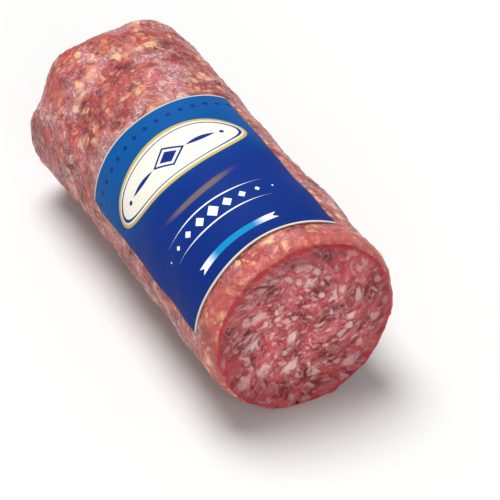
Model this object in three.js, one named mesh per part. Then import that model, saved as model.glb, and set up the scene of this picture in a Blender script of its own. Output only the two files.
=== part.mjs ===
// A cured sausage that lies on its side. One end is cut flat, the other is gathered and closed by a metal clip,
// and a printed paper label is wrapped part of the way round the middle.
// Millimetres, +Z up. The sausage lies along Y with its cut face towards -Y, and the origin is on the surface
// that it rests on, under the middle of its length.
import * as THREE from "three";
import { mergeVertices } from "three/addons/utils/BufferGeometryUtils.js";

// ---- Driving dimensions, in millimetres and degrees ----
const RADIUS = 33; // of the filled casing, at its middle
const RIM_RADIUS = 31.7; // of the cut face, where the casing is drawn in a little
const AXIS_HEIGHT = 31.9; // of the middle of the sausage: its own weight flattens the underside
const SHOULDER = 141; // from the cut face to where the sausage starts to close
const END_FLAT = 153.5; // from the cut face to the blunt middle of the gathered end
const NECK_RADIUS = 3.2; // of the casing, squeezed by the clip
const NECK_START = 159;
const NECK_END = 164;
const TAIL_RADIUS = 4.3; // of the loose casing past the clip
const LENGTH = 171; // from the cut face to the end of the loose casing

const PLEATS = 12; // folds of the casing round the gathered end
const PLEAT_DEPTH = 1.3;
const PLEAT_SHARE = 0.2; // no fold is deeper than this share of the radius at its place

const LABEL = {
  start: 11.2, // from the cut face
  length: 82.2,
  middle: -28.5, // degrees round from the top, towards +X
  spread: 119, // degrees round, edge to edge
  gap: 0.3, // to the casing
  thickness: 0.4,
};

const CLIP = {
  width: 11,
  height: 10.2,
  corner: 4.4,
  bore: 3.6, // radius left open for the neck
  seam: 0.7, // between the two bent legs
  depth: 3.2, // along the sausage
  bevel: 0.4,
};

const AROUND = 72; // facets round the sausage
const OUTLINE_STEPS = [4, 30, 9, 7, 2, 4]; // rings along each stretch of the outline, from the cut face on
const LABEL_AROUND = 40;
const LABEL_ALONG = 14;
const CLIP_CURVE = 8;

// Soft waves of the whole skin: how many go round, how long one is along the sausage, how high, and where it starts.
const WAVES = [
  { around: 2, length: 97, height: 0.3, turn: 20 },
  { around: 3, length: 61, height: 0.22, turn: 140 },
  { around: 5, length: 34, height: 0.2, turn: 265 },
  { around: 7, length: 23, height: 0.14, turn: 80 },
];

// Single swellings and dents: place round and along, their reach, and their height, negative for a dent.
const SWELLINGS = [
  { angle: 62, along: 6, reachAngle: 26, reachAlong: 8, height: 0.9 },
  { angle: 64, along: 33, reachAngle: 24, reachAlong: 9, height: 1.1 },
  { angle: -122, along: 1, reachAngle: 30, reachAlong: 6, height: -0.7 },
  { angle: -112, along: 146, reachAngle: 22, reachAlong: 11, height: 1.5 },
  { angle: 27, along: 150, reachAngle: 15, reachAlong: 9, height: 1.5 },
  { angle: -9, along: 151, reachAngle: 21, reachAlong: 10, height: -2 },
  { angle: -42, along: 149, reachAngle: 12, reachAlong: 9, height: 0.8 },
  { angle: -72, along: 151, reachAngle: 13, reachAlong: 9, height: -1.6 },
];

const material = (name, color, roughness, metalness = 0) =>
  new THREE.MeshStandardMaterial({ name, color, roughness, metalness });

const MEAT = material("cured meat in its casing", 0xb85f55, 0.5);
const PRINTED_PAPER = material("printed paper", 0x263c8c, 0.35);
const CLIP_METAL = material("clip aluminium", 0xb9bcc0, 0.35, 0.9);

// ---- Surface of the filled casing ----

// The sausage's half outline: x runs along it from the cut face, y is the radius.
function outline() {
  return new THREE.Path()
    .moveTo(0, RIM_RADIUS)
    .bezierCurveTo(1, RADIUS + 0.2, 5, RADIUS + 0.9, 10.5, RADIUS)
    .lineTo(SHOULDER, RADIUS)
    .bezierCurveTo(SHOULDER + 8, RADIUS, END_FLAT - 1, RADIUS - 3, END_FLAT - 0.5, 21)
    .bezierCurveTo(END_FLAT, 10, NECK_START - 4, NECK_RADIUS, NECK_START, NECK_RADIUS)
    .lineTo(NECK_END, NECK_RADIUS)
    .bezierCurveTo(NECK_END + 2, NECK_RADIUS, LENGTH - 3, TAIL_RADIUS, LENGTH, TAIL_RADIUS);
}

// The places along the outline that get a ring of points, each with its outward normal.
function stations() {
  const found = [];
  outline().curves.forEach((curve, stretch) => {
    const steps = OUTLINE_STEPS[stretch];
    for (let i = stretch === 0 ? 0 : 1; i <= steps; i++) {
      const point = curve.getPointAt(i / steps);
      const tangent = curve.getTangentAt(i / steps);
      found.push({ point, normal: new THREE.Vector2(-tangent.y, tangent.x) });
    }
  });
  return found;
}

// How far the skin stands out of its plain round shape, from its waves and single swellings.
function relief(angle, along) {
  const turn = THREE.MathUtils.degToRad(angle);
  const waves = WAVES.map(
    ({ around, length, height, turn: start }) =>
      height *
      Math.cos(around * turn + THREE.MathUtils.degToRad(start)) *
      Math.cos((2 * Math.PI * along) / length + start),
  );
  const swellings = SWELLINGS.map((s) => {
    const round = THREE.MathUtils.euclideanModulo(angle - s.angle + 180, 360) - 180;
    return s.height * Math.exp(-((round / s.reachAngle) ** 2) - ((along - s.along) / s.reachAlong) ** 2);
  });
  return [...waves, ...swellings].reduce((sum, value) => sum + value, 0);
}

// How deep the folds of the gathered casing go in, at one place round the end.
function pleat(angle, radius) {
  const gathered = 1 - THREE.MathUtils.smoothstep(radius, NECK_RADIUS + 6, 0.8 * RADIUS);
  const ridge = Math.cos(THREE.MathUtils.degToRad(PLEATS * angle + 25 * Math.sin((3 * angle * Math.PI) / 180)));
  return -gathered * Math.min(PLEAT_DEPTH, PLEAT_SHARE * radius) * (0.5 - 0.5 * ridge);
}

// A point of the skin, angle degrees round from the top towards +X, lifted off the skin by lift.
function skinPoint({ point, normal }, angle, lift = 0) {
  const calm = Math.min(1, point.y / (0.6 * RADIUS)) ** 2;
  const out = calm * relief(angle, point.x) + pleat(angle, point.y) + lift;
  const along = point.x + normal.x * out;
  const radius = point.y + normal.y * out;
  const turn = THREE.MathUtils.degToRad(angle);
  const height = Math.max(0, AXIS_HEIGHT + radius * Math.cos(turn));
  return new THREE.Vector3(radius * Math.sin(turn), along - LENGTH / 2, height);
}

// ---- Meshes ----

function geometryOf(points, faces) {
  const geometry = new THREE.BufferGeometry().setFromPoints(points).setIndex(faces);
  geometry.computeVertexNormals();
  return geometry;
}

function sausage() {
  const rings = stations();
  const points = rings.flatMap((station) =>
    Array.from({ length: AROUND }, (_, k) => skinPoint(station, (360 * k) / AROUND)),
  );
  // The cut face and the end of the loose casing are flat, so their rims are set on one plane.
  const lastRing = (rings.length - 1) * AROUND;
  points.slice(0, AROUND).forEach((p) => p.setY(-LENGTH / 2));
  points.slice(lastRing).forEach((p) => p.setY(LENGTH / 2));
  const cutMiddle = points.push(new THREE.Vector3(0, -LENGTH / 2, AXIS_HEIGHT)) - 1;
  const tailMiddle = points.push(new THREE.Vector3(0, LENGTH / 2, AXIS_HEIGHT)) - 1;

  const faces = [];
  for (let k = 0; k < AROUND; k++) {
    const next = (k + 1) % AROUND;
    faces.push(cutMiddle, next, k);
    for (let ring = 0; ring < lastRing; ring += AROUND) {
      faces.push(ring + k, ring + next, ring + AROUND + next);
      faces.push(ring + k, ring + AROUND + next, ring + AROUND + k);
    }
    faces.push(tailMiddle, lastRing + k, lastRing + next);
  }
  return new THREE.Mesh(geometryOf(points, faces), MEAT);
}

function label() {
  const first = LABEL.middle - LABEL.spread / 2;
  const rowLength = LABEL_AROUND + 1;
  const sheet = (lift) => {
    const points = [];
    for (let row = 0; row <= LABEL_ALONG; row++) {
      const along = LABEL.start + (LABEL.length * row) / LABEL_ALONG;
      const station = { point: new THREE.Vector2(along, RADIUS), normal: new THREE.Vector2(0, 1) };
      for (let k = 0; k <= LABEL_AROUND; k++)
        points.push(skinPoint(station, first + (LABEL.spread * k) / LABEL_AROUND, lift));
    }
    return points;
  };
  const points = [...sheet(LABEL.gap + LABEL.thickness), ...sheet(LABEL.gap)];
  const under = points.length / 2;

  const faces = [];
  const quad = (a, b, c, d) => faces.push(a, b, c, a, c, d);
  for (let row = 0; row < LABEL_ALONG; row++)
    for (let k = 0; k < LABEL_AROUND; k++) {
      const a = row * rowLength + k;
      const b = a + rowLength;
      quad(a, a + 1, b + 1, b);
      quad(under + a, under + b, under + b + 1, under + a + 1);
    }
  const lastRow = LABEL_ALONG * rowLength;
  for (let k = 0; k < LABEL_AROUND; k++) {
    quad(k + 1, k, under + k, under + k + 1);
    quad(lastRow + k, lastRow + k + 1, under + lastRow + k + 1, under + lastRow + k);
  }
  for (let a = 0; a < lastRow; a += rowLength) {
    const b = a + rowLength;
    const end = LABEL_AROUND;
    quad(a, b, under + b, under + a);
    quad(b + end, a + end, under + a + end, under + b + end);
  }
  return new THREE.Mesh(geometryOf(points, faces), PRINTED_PAPER);
}

// The clip's section: a rounded block round the neck, whose two legs meet below at a seam.
function clipSection() {
  const w = CLIP.width / 2;
  const h = CLIP.height / 2;
  const c = CLIP.corner;
  const slit = CLIP.seam / 2;
  const slitAngle = Math.asin(slit / CLIP.bore);
  return new THREE.Shape()
    .moveTo(slit, -h)
    .lineTo(w - c, -h)
    .absarc(w - c, c - h, c, -Math.PI / 2, 0, false)
    .absarc(w - c, h - c, c, 0, Math.PI / 2, false)
    .absarc(c - w, h - c, c, Math.PI / 2, Math.PI, false)
    .absarc(c - w, c - h, c, Math.PI, 1.5 * Math.PI, false)
    .lineTo(-slit, -h)
    .absarc(0, 0, CLIP.bore, 1.5 * Math.PI - slitAngle, slitAngle - Math.PI / 2, true);
}

function endClip() {
  const geometry = new THREE.ExtrudeGeometry(clipSection(), {
    depth: CLIP.depth - 2 * CLIP.bevel,
    steps: 1,
    curveSegments: CLIP_CURVE,
    bevelThickness: CLIP.bevel,
    bevelSize: CLIP.bevel,
    bevelOffset: -CLIP.bevel,
    bevelSegments: 2,
  });
  geometry.deleteAttribute("normal").deleteAttribute("uv");
  const clip = new THREE.Mesh(mergeVertices(geometry, 1e-4), CLIP_METAL);
  clip.geometry.computeVertexNormals();
  clip.rotation.x = Math.PI / 2;
  clip.position.set(0, (NECK_START + NECK_END + CLIP.depth) / 2 - CLIP.bevel - LENGTH / 2, AXIS_HEIGHT);
  return clip;
}

const part = new THREE.Group();
const PIECES = { sausage: sausage(), label: label(), end_clip: endClip() };
Object.entries(PIECES).forEach(([name, mesh]) => {
  mesh.name = name;
  part.add(mesh);
});

export default part;
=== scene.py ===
"""Looks of a cured sausage: one cut end, one gathered and clipped end, and a printed paper label.

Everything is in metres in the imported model's own frame: the sausage lies along Y with its cut face towards
-Y, +Z is up, and it rests on z = 0. Shader and geometry patterns are worked out in millimetres.
"""

from __future__ import annotations

import logging
import math
from dataclasses import dataclass, field
from enum import Enum
from typing import Sequence, Union

import bpy
import numpy as np
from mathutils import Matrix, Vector

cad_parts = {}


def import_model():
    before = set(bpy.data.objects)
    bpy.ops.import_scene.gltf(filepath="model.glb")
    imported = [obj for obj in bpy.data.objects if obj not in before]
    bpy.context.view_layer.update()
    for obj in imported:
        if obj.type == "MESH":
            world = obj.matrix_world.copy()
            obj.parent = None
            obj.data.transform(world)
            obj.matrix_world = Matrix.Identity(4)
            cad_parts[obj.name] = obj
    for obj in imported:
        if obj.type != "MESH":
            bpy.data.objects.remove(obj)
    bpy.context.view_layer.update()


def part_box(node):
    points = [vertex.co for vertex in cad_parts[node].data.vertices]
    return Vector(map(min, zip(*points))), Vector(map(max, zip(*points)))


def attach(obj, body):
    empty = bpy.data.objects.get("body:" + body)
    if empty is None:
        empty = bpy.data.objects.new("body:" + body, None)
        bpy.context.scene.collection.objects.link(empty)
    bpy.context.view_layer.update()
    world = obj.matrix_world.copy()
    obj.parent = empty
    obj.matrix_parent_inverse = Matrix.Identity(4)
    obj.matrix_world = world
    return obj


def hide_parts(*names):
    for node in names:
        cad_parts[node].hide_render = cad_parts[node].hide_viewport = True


LOG = logging.getLogger("cured_sausage")

MM = 0.001
PER_METRE = 1000.0
HALF = (0.5, 0.5, 0.5)
REST = "rest_place"  # where a point of the meat lies before its fine relief
PUSH = "relief_way"  # which way fine relief moves a point, and by how much of its height
ZONE = "zone"  # x: 1 on the skin and 0 on the cut; y: 1 on gathered casing; z: 1 under the label
# fold_depth's x also sets where painted shade darkens the gathered casing's colour
FOLD = "fold_depth"  # x: 1 deep in a fold of the gathered casing; y: 1 at the casing's loose end
PRINT = "print_place"  # millimetres across and along the label, and 1 on its printed side
BAKE_MAP = "OFBake"

Array = np.ndarray
Socket = bpy.types.NodeSocket
Node = bpy.types.Node
Tree = bpy.types.NodeTree
Material = bpy.types.Material
Object = bpy.types.Object
Feed = Union[float, Sequence[float], Socket, "Signal"]
Inputs = dict[Union[str, int], Feed]
Triple = tuple[float, float, float]
Colour = Triple


def linear(red: int, green: int, blue: int) -> Colour:
    """Turns a display colour of 0 to 255 a channel into linear light.

    Args:
        red: Red channel.
        green: Green channel.
        blue: Blue channel.

    Returns:
        The colour in linear light, each channel from 0 to 1.
    """
    def one(channel: int) -> float:
        """Undoes the display curve of one channel."""
        share = channel / 255.0
        return share / 12.92 if share <= 0.04045 else ((share + 0.055) / 1.055) ** 2.4

    return one(red), one(green), one(blue)


# ---- Node trees ----


@dataclass(frozen=True)
class Lumps:
    """Soft noise: a lump's size in millimetres, its octaves, their strength, and its own distortion."""

    size: float
    detail: float = 2.0
    rough: float = 0.5
    twist: float = 0.0


class Signal:
    """A number, vector or colour in a node tree. Plain arithmetic on it adds the nodes that work it out."""

    def __init__(self, bench: Bench, socket: Socket) -> None:
        """Wraps a node's output."""
        self.bench = bench
        self.socket = socket

    @property
    def is_vector(self) -> bool:
        """Whether it has three parts."""
        return self.socket.type in ("VECTOR", "RGBA")

    def step(self, operation: str, first: Feed, second: Feed) -> Signal:
        """Works out one step on two operands, in the kind of node that suits this signal."""
        return (self.bench.vector if self.is_vector else self.bench.math)(operation, first, second)

    def __add__(self, other: Feed) -> Signal:
        """The sum."""
        return self.step("ADD", self, other)

    def __sub__(self, other: Feed) -> Signal:
        """What is left when other is taken away."""
        return self.step("SUBTRACT", self, other)

    def __rsub__(self, other: Feed) -> Signal:
        """What is left of other when this is taken away."""
        return self.step("SUBTRACT", other, self)

    def __mul__(self, other: Feed) -> Signal:
        """Multiplies, part by part where both are vectors.

        Args:
            other: A number or a vector.

        Returns:
            The product.
        """
        single = isinstance(other, float) or (isinstance(other, Signal) and not other.is_vector)
        if self.is_vector and single:
            return self.bench.result("ShaderNodeVectorMath", {0: self, "Scale": other}, operation="SCALE")
        return self.step("MULTIPLY", self, other)

    def __truediv__(self, other: Feed) -> Signal:
        """The quotient."""
        return self.step("DIVIDE", self, other)

    def __abs__(self) -> Signal:
        """The number without its sign."""
        return self.bench.math("ABSOLUTE", self)

    def most(self, other: Feed) -> Signal:
        """The larger of two numbers."""
        return self.bench.math("MAXIMUM", self, other)

    def above(self, limit: float) -> Signal:
        """1 where the number is over a limit, and 0 elsewhere."""
        return self.bench.math("GREATER_THAN", self, limit)

    def clamped(self) -> Signal:
        """The number kept from 0 to 1."""
        return self.bench.math("ADD", self, 0.0, clamp=True)

    def inked(self, soft: float = 0.1) -> Signal:
        """1 where the number is over 0, with a soft edge, and 0 elsewhere."""
        return self.eased(-soft, soft)

    def eased(self, low: Feed, high: Feed, start: Feed = 0.0, end: Feed = 1.0) -> Signal:
        """Maps the number smoothly from one range to another, and keeps it there.

        Args:
            low: Where the old range starts. It may lie above high.
            high: Where the old range ends.
            start: The result at low.
            end: The result at high.

        Returns:
            The mapped number.
        """
        inputs = {"Value": self, "From Min": low, "From Max": high, "To Min": start, "To Max": end}
        return self.bench.result("ShaderNodeMapRange", inputs, "Result", interpolation_type="SMOOTHSTEP")

    def length(self) -> Signal:
        """The vector's length."""
        return self.bench.result("ShaderNodeVectorMath", {0: self}, "Value", operation="LENGTH")

    def parts(self) -> tuple[Signal, Signal, Signal]:
        """The vector's three parts."""
        x, y, z = self.bench.add("ShaderNodeSeparateXYZ", {0: self}).outputs
        return Signal(self.bench, x), Signal(self.bench, y), Signal(self.bench, z)

    def turned(self, axis: str, angle: Feed, centre: Triple = (0.0, 0.0, 0.0)) -> Signal:
        """Turns the vector by an angle in radians round the axis with a letter, through a centre."""
        inputs = {"Vector": self, "Center": centre, "Angle": angle}
        return self.bench.result("ShaderNodeVectorRotate", inputs, rotation_type=f"{axis}_AXIS")


class Bench:
    """Places and joins nodes in one tree. The same calls serve materials and geometry."""

    def __init__(self, tree: Tree) -> None:
        """Starts on a tree."""
        self.tree = tree

    def feed(self, socket: Socket, value: Feed | None) -> None:
        """Links or sets an input.

        Args:
            socket: The input.
            value: A signal, another node's output, a plain value, or None to leave the input alone.
        """
        if isinstance(value, Signal):
            value = value.socket
        if isinstance(value, Socket):
            self.tree.links.new(value, socket)
        elif value is not None:
            socket.default_value = (*value, 1.0) if socket.type == "RGBA" and len(value) == 3 else value

    def add(self, kind: str, inputs: Inputs | None = None, **settings: object) -> Node:
        """Adds a node.

        Args:
            kind: The node's type name.
            inputs: Values and links by input name or number.
            **settings: The node's own properties.

        Returns:
            The new node.
        """
        node = self.tree.nodes.new(kind)
        for name, value in settings.items():
            setattr(node, name, value)
        for key, value in (inputs or {}).items():
            self.feed(node.inputs[key], value)
        return node

    def result(self, kind: str, inputs: Inputs, output: str | int = 0, **settings: object) -> Signal:
        """Adds a node, and gives one of its outputs by name or number."""
        return Signal(self, self.add(kind, inputs, **settings).outputs[output])

    def math(self, operation: str, *values: Feed, clamp: bool = False) -> Signal:
        """Works out one step on numbers, by Blender's name for it. Clamped, it stays from 0 to 1."""
        return self.result("ShaderNodeMath", dict(enumerate(values)), operation=operation, use_clamp=clamp)

    def vector(self, operation: str, *values: Feed) -> Signal:
        """Works out one step on vectors, by Blender's name for it."""
        return self.result("ShaderNodeVectorMath", dict(enumerate(values)), operation=operation)

    def joined(self, x: Feed, y: Feed, z: Feed = 0.0) -> Signal:
        """Joins three numbers into a vector."""
        return self.result("ShaderNodeCombineXYZ", {0: x, 1: y, 2: z})

    def noise(self, place: Feed, lumps: Lumps, output: int = 0) -> Signal:
        """Soft noise, about 0.5 on average: one number, or a vector where output is 1."""
        inputs = {"Detail": lumps.detail, "Roughness": lumps.rough, "Distortion": lumps.twist, "Vector": place}
        return self.result("ShaderNodeTexNoise", {**inputs, "Scale": 1.0 / lumps.size}, output)

    def drift(self, place: Feed, lumps: Lumps, reach: float) -> Signal:
        """A soft random push, each part of it up to about half of reach."""
        return (self.noise(place, lumps, 1) - HALF) * reach

    def ridges(self, place: Feed, lumps: Lumps) -> Signal:
        """Thin winding crests in a noise: 1 on a crest, falling to 0 away from it."""
        return (1.0 - abs(self.noise(place, lumps) * 2.0 - 1.0)).clamped()

    def cells(self, place: Feed, size: float) -> tuple[Signal, Signal]:
        """Random cells, as of packed grains.

        Args:
            place: Position, in millimetres.
            size: Size of a cell, in millimetres.

        Returns:
            The distance from the cell's middle in cell sizes, and three random numbers for each cell.
        """
        node = self.add("ShaderNodeTexVoronoi", {"Vector": place, "Scale": 1.0 / size}, feature="F1")
        return Signal(self, node.outputs["Distance"]), Signal(self, node.outputs["Color"])

    def seams(self, place: Feed, size: float) -> Signal:
        """The distance from the nearest border between random cells, in cell sizes."""
        inputs = {"Vector": place, "Scale": 1.0 / size}
        return self.result("ShaderNodeTexVoronoi", inputs, "Distance", feature="DISTANCE_TO_EDGE")

    def mix(self, share: Feed, first: Feed, second: Feed, mode: str = "MIX") -> Signal:
        """Lays a colour over another.

        Args:
            share: How much of the second colour shows.
            first: The colour below.
            second: The colour on top.
            mode: Blender's name for how they are laid together.

        Returns:
            The result.
        """
        inputs = {0: share, 6: first, 7: second}
        return self.result("ShaderNodeMix", inputs, 2, data_type="RGBA", blend_type=mode)

    def between(self, share: Feed, first: Feed, second: Feed) -> Signal:
        """Goes from one number to another as share goes from 0 to 1."""
        return self.result("ShaderNodeMix", {0: share, 2: first, 3: second}, data_type="FLOAT")


@dataclass(frozen=True)
class TreeKind:
    """The node names that differ between materials and geometry."""

    tree: str
    group: str


class TreeUse(Enum):
    """What a node group is used in."""

    MATERIAL = TreeKind("ShaderNodeTree", "ShaderNodeGroup")
    GEOMETRY = TreeKind("GeometryNodeTree", "GeometryNodeGroup")


class EffectGroup:
    """A shared effect: one node group with named inputs and number outputs, built once for each use."""

    title = "Effect"
    takes: dict[str, str] = {}
    gives: tuple[str, ...] = ()

    def __init__(self) -> None:
        """Starts with nothing built."""
        self.built: dict[TreeUse, Tree] = {}

    def wire(self, bench: Bench, inputs: dict[str, Signal]) -> dict[str, Signal]:
        """Builds the effect inside its group, and returns its outputs by name."""
        raise NotImplementedError

    def tree(self, use: TreeUse) -> Tree:
        """The group's tree for one use, made the first time it is wanted.

        Args:
            use: What the group is placed in.

        Returns:
            The tree.
        """
        if use in self.built:
            return self.built[use]
        tree = bpy.data.node_groups.new(self.title, use.value.tree)
        for name, kind in self.takes.items():
            tree.interface.new_socket(name=name, in_out="INPUT", socket_type=kind)
        for name in self.gives:
            tree.interface.new_socket(name=name, in_out="OUTPUT", socket_type="NodeSocketFloat")
        bench = Bench(tree)
        entry = bench.add("NodeGroupInput")
        inputs = {name: Signal(bench, entry.outputs[name]) for name in self.takes}
        bench.add("NodeGroupOutput", self.wire(bench, inputs))
        self.built[use] = tree
        return tree

    def place(self, bench: Bench, use: TreeUse, **inputs: Feed) -> dict[str, Signal]:
        """Places the effect in a tree.

        Args:
            bench: Where it goes.
            use: What that tree is.
            **inputs: The group's inputs by name.

        Returns:
            The group's outputs by name.
        """
        node = bench.tree.nodes.new(use.value.group)
        node.node_tree = self.tree(use)
        for name, value in inputs.items():
            bench.feed(node.inputs[name], value)
        return {name: Signal(bench, node.outputs[name]) for name in self.gives}


@dataclass(frozen=True)
class FatSize:
    """One size of fat: cell size in millimetres, share of cells with none, largest radius in cells."""

    cell: float
    empty: float
    radius: float


class MeatGrain(EffectGroup):
    """Coarse-ground cured meat: pieces of white fat of several sizes in grains of lean."""

    title = "Meat grain"
    takes = {"Place": "NodeSocketVector", "Spread": "NodeSocketFloat", "Softness": "NodeSocketFloat"}
    gives = ("Fat", "Fleck", "Marble", "Tone", "Vein", "Pit", "Fibre")

    big_fat = FatSize(6.2, 0.58, 0.36)
    mid_fat = FatSize(3.6, 0.34, 0.40)
    small_fat = FatSize(2.0, 0.30, 0.42)
    mid_share = 0.92
    small_share = 0.62
    swirl = Lumps(8.5, 1.0)
    swirl_reach = 6.0
    crumple = Lumps(2.4, 2.0)
    crumple_reach = 1.6
    fat_edge = Lumps(1.6, 2.0, 0.6)
    fat_edge_reach = 0.6  # in cells
    marbling = Lumps(3.0, 3.0, 0.62)
    flecks = Lumps(1.15, 2.0, 0.6)
    fleck_zones = Lumps(6.0, 1.0)
    clouds = Lumps(8.0, 3.0)
    grain_size = 3.9
    fibres = Lumps(0.9, 3.0, 0.65, 0.6)
    fibre_draw = (1.0, 1.0, 0.32)
    seam_size = 3.0
    seam_zones = Lumps(4.0, 1.0)
    pit_spacing = 8.0
    pit_radius = (0.085, 0.05)  # in cells, where a hole's edge starts and ends
    pit_rarity = 0.72

    def fat(self, place: Signal, kind: FatSize, spread: Signal, softness: Signal, ragged: Signal) -> Signal:
        """Builds one size of fat.

        Args:
            place: Warped position, in millimetres.
            kind: The size.
            spread: How far the pieces are pressed out, in cells.
            softness: Width of their edge, in cells.
            ragged: How far the edge stands out at each place, in cells.

        Returns:
            The mask of this size of fat.
        """
        distance, random = place.bench.cells(place, kind.cell)
        chance = random.parts()[0]
        filled = chance.above(kind.empty)
        reach = (chance.eased(kind.empty, 1.0, 0.0, kind.radius) + spread) * filled + (filled - 1.0)
        return (reach - distance + ragged).eased(softness * -1.0, softness)

    def wire(self, bench: Bench, inputs: dict[str, Signal]) -> dict[str, Signal]:
        """Builds the fat, the lean's tone, its fibre, the pale seams between grains and the small holes.

        Args:
            bench: The group's bench.
            inputs: The group's inputs by name.

        Returns:
            The group's outputs by name.
        """
        place, spread, softness = inputs["Place"], inputs["Spread"], inputs["Softness"]
        warped = place + bench.drift(place, self.swirl, self.swirl_reach)
        warped = warped + bench.drift(place, self.crumple, self.crumple_reach)
        long_ways = warped * (0.72, 1.0, 1.15)
        cross_ways = (warped + (31.0, 17.0, 5.0)) * (1.2, 0.8, 0.85)

        ragged = bench.noise(warped, self.fat_edge) * self.fat_edge_reach - self.fat_edge_reach / 2
        big = self.fat(long_ways, self.big_fat, spread, softness, ragged)
        mid = self.fat(cross_ways, self.mid_fat, spread, softness, ragged) * self.mid_share
        small = self.fat(long_ways, self.small_fat, spread, softness, ragged) * self.small_share

        fleck = bench.noise(warped, self.flecks).eased(0.5, 0.68)
        fleck = fleck * bench.noise(place, self.fleck_zones).eased(0.3, 0.6)
        grain = bench.cells(warped + (7.0, 3.0, 19.0), self.grain_size)[1].parts()[1]
        tone = grain * 0.6 + (bench.noise(place, self.clouds) * 2.6 - 1.1)
        seam = bench.seams(warped + (2.0, 11.0, 6.0), self.seam_size).eased(0.11, 0.02)
        vein = seam * bench.noise(place, self.seam_zones).eased(0.42, 0.6)
        pit_at, pit_random = bench.cells(place + (4.0, 4.0, 9.0), self.pit_spacing)
        return {
            "Fat": big.most(mid).most(small),
            "Fleck": fleck,
            "Marble": bench.noise(warped * (0.8, 1.0, 1.3), self.marbling).eased(0.44, 0.7),
            "Tone": tone.clamped(),
            "Vein": vein,
            "Pit": pit_at.eased(*self.pit_radius) * pit_random.parts()[2].above(self.pit_rarity),
            "Fibre": bench.noise(warped * self.fibre_draw, self.fibres),
        }


class SkinCrinkle(EffectGroup):
    """The fine wrinkles of a dried casing: soft folds, small winding crests that catch the light, and spots
    that the skin uses for painted glints.
    """

    title = "Skin crinkle"
    takes = {"Place": "NodeSocketVector"}
    gives = ("Fold", "Crest", "Glint", "Bloom", "Pebble")

    sway = Lumps(6.0, 1.0)
    sway_reach = 4.5
    slant = 0.55  # radians
    draw = (0.85, 1.15, 0.85)
    folds = Lumps(6.0, 1.0)
    crests = Lumps(2.6, 2.0)
    breaks = Lumps(1.7, 1.0)
    glints = Lumps(1.05, 2.0, 0.55, 0.5)
    blooms = Lumps(11.0, 3.0, 0.6)
    pebbles = Lumps(1.3, 3.0, 0.6)

    def wire(self, bench: Bench, inputs: dict[str, Signal]) -> dict[str, Signal]:
        """Builds the folds, the crests, the spots for painted glints, the zones of pale bloom and the fine
        pebbling.

        Args:
            bench: The group's bench.
            inputs: The group's inputs by name.

        Returns:
            The group's outputs by name.
        """
        place = inputs["Place"]
        moved = place + bench.drift(place, self.sway, self.sway_reach)
        drawn = moved.turned("Z", self.slant) * self.draw
        broken = bench.noise(drawn + (3.0, 21.0, 8.0), self.breaks).eased(0.4, 0.62)
        return {
            "Fold": bench.ridges(drawn, self.folds),
            "Crest": bench.ridges(drawn + (13.0, 7.0, 3.0), self.crests) * (broken * 0.5 + 0.5),
            "Glint": bench.noise(moved + (5.0, 0.0, 12.0), self.glints),
            "Bloom": bench.noise(place + (0.0, 0.0, 40.0), self.blooms),
            "Pebble": bench.noise(moved, self.pebbles),
        }


GRAIN = MeatGrain()
CRINKLE = SkinCrinkle()


def from_axis(place: Signal, axis_height: float) -> Signal:
    """How far a place lies from the sausage's axis."""
    x, _, z = place.parts()
    return place.bench.joined(x, 0.0, z - axis_height).length()


def stirred(place: Signal, amount: Feed, axis_height: float) -> Signal:
    """Turns places round the axis by some radians for each millimetre out, as filling the casing does."""
    return place.turned("Y", from_axis(place, axis_height) * amount, (0.0, 0.0, axis_height))


def new_material(name: str) -> tuple[Material, Bench, Node]:
    """Starts a material.

    Args:
        name: Its name.

    Returns:
        The material, a bench on its nodes, and its main shader.
    """
    material = bpy.data.materials.new(name)
    material.use_nodes = True
    return material, Bench(material.node_tree), material.node_tree.nodes["Principled BSDF"]


def read_vector(bench: Bench, name: str) -> Signal:
    """A vector that the mesh carries, read in a material."""
    return bench.result("ShaderNodeAttribute", {}, "Vector", attribute_name=name, attribute_type="GEOMETRY")


def stored_vector(bench: Bench, name: str) -> Signal:
    """A vector that the mesh carries, read in geometry nodes."""
    settings = {"data_type": "FLOAT_VECTOR"}
    return bench.result("GeometryNodeInputNamedAttribute", {"Name": name}, "Attribute", **settings)


def object_place(bench: Bench) -> Signal:
    """The place of a point on its own object, in millimetres."""
    return bench.result("ShaderNodeTexCoord", {}, "Object") * PER_METRE


def dress(bench: Bench, shader: Node, colour: Feed, roughness: Feed) -> None:
    """Gives a shader its colour and roughness."""
    bench.feed(shader.inputs["Base Color"], colour)
    bench.feed(shader.inputs["Roughness"], roughness)


def set_constants(shader: Node, values: dict[str, float | Colour]) -> None:
    """Sets a shader's own plain inputs by name."""
    for name, value in values.items():
        shader.inputs[name].default_value = value


def let_light_in(shader: Node, weight: float, spread: Colour, depth: float) -> None:
    """Lets a little light through a surface, as meat and fat do.

    Args:
        shader: Its main shader.
        weight: Share of the light that goes in.
        spread: How far each colour goes, against the depth.
        depth: How far light goes in, in millimetres.
    """
    names = ("Subsurface Weight", "Subsurface Radius", "Subsurface Scale")
    set_constants(shader, dict(zip(names, (weight, spread, depth * MM))))


def relief(bench: Bench, shader: Node, height: Feed, depth: float, strength: float = 1.0) -> None:
    """Gives a shader fine relief.

    Args:
        bench: The material's bench.
        shader: Its main shader.
        height: The relief, from 0 to 1.
        depth: How far 1 stands above 0, in millimetres.
        strength: Share of the effect.
    """
    bump = bench.add("ShaderNodeBump", {"Height": height, "Distance": depth * MM, "Strength": strength})
    bench.feed(shader.inputs["Normal"], bump.outputs["Normal"])


# ---- Finishes ----


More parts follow.
